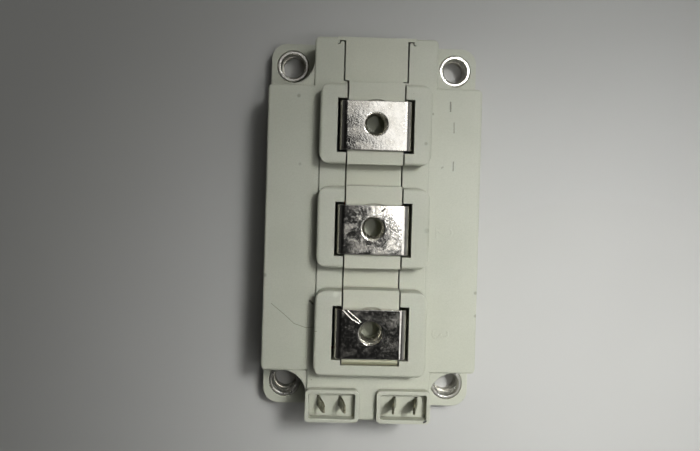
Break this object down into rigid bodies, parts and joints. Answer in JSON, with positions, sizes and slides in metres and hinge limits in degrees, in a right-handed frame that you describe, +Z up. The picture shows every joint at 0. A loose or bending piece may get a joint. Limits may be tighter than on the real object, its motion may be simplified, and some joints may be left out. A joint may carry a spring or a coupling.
{
  "type": "igbt power module",
  "caption": "Half-bridge power transistor module with bridge-shaped screw terminals over a sliding nut carrier, control tabs in two sockets and a metal baseplate.",
  "frame": {"origin": "centre of the baseplate's underside", "axes": "+Z up from the heatsink face to the power terminals, +Y along the long side away from the control tabs, +X across"},
  "size_m": [0.0614, 0.1064, 0.0309],
  "materials": {
    "nickel_copper": "satin",
    "housing_plastic": "matte",
    "sealant": "matte",
    "zinc_steel": "satin",
    "plated_copper": "satin",
    "sleeve_metal": "satin",
    "tab_metal": "satin",
    "lead_sleeving": "matte",
    "solder": "satin",
    "bare_copper": "satin",
    "alumina": "matte",
    "silicon": "gloss",
    "bond_aluminium": "satin",
    "gel": "gloss"
  },
  "bodies": {
    "root": {"baseplate": "nickel_copper", "housing": "housing_plastic", "adhesive_bead": "sealant", "nut_carrier": "housing_plastic", "terminal_nuts": "zinc_steel", "power_terminal_1": "plated_copper", "power_terminal_2": "plated_copper", "power_terminal_3": "plated_copper", "mounting_sleeve_1": "sleeve_metal", "mounting_sleeve_2": "sleeve_metal", "mounting_sleeve_3": "sleeve_metal", "mounting_sleeve_4": "sleeve_metal", "control_tab_1": "tab_metal", "control_tab_2": "tab_metal", "control_tab_3": "tab_metal", "control_tab_4": "tab_metal", "control_lead_1": "lead_sleeving", "control_lead_2": "lead_sleeving", "control_lead_3": "lead_sleeving", "control_lead_4": "lead_sleeving", "base_solder_1": "solder", "base_solder_2": "solder", "back_copper_1": "bare_copper", "back_copper_2": "bare_copper", "ceramic_1": "alumina", "ceramic_2": "alumina", "collector_track_1": "bare_copper", "collector_track_2": "bare_copper", "emitter_track_1": "bare_copper", "emitter_track_2": "bare_copper", "gate_track_1": "bare_copper", "gate_track_2": "bare_copper", "igbt_chip_1": "silicon", "igbt_chip_2": "silicon", "igbt_chip_3": "silicon", "igbt_chip_4": "silicon", "diode_chip_1": "silicon", "diode_chip_2": "silicon", "diode_chip_3": "silicon", "diode_chip_4": "silicon", "bond_wires_1": "bond_aluminium", "bond_wires_2": "bond_aluminium", "substrate_link_1": "bare_copper", "substrate_link_2": "bare_copper", "silicone_gel": "gel"}
  },
  "joints": []
}
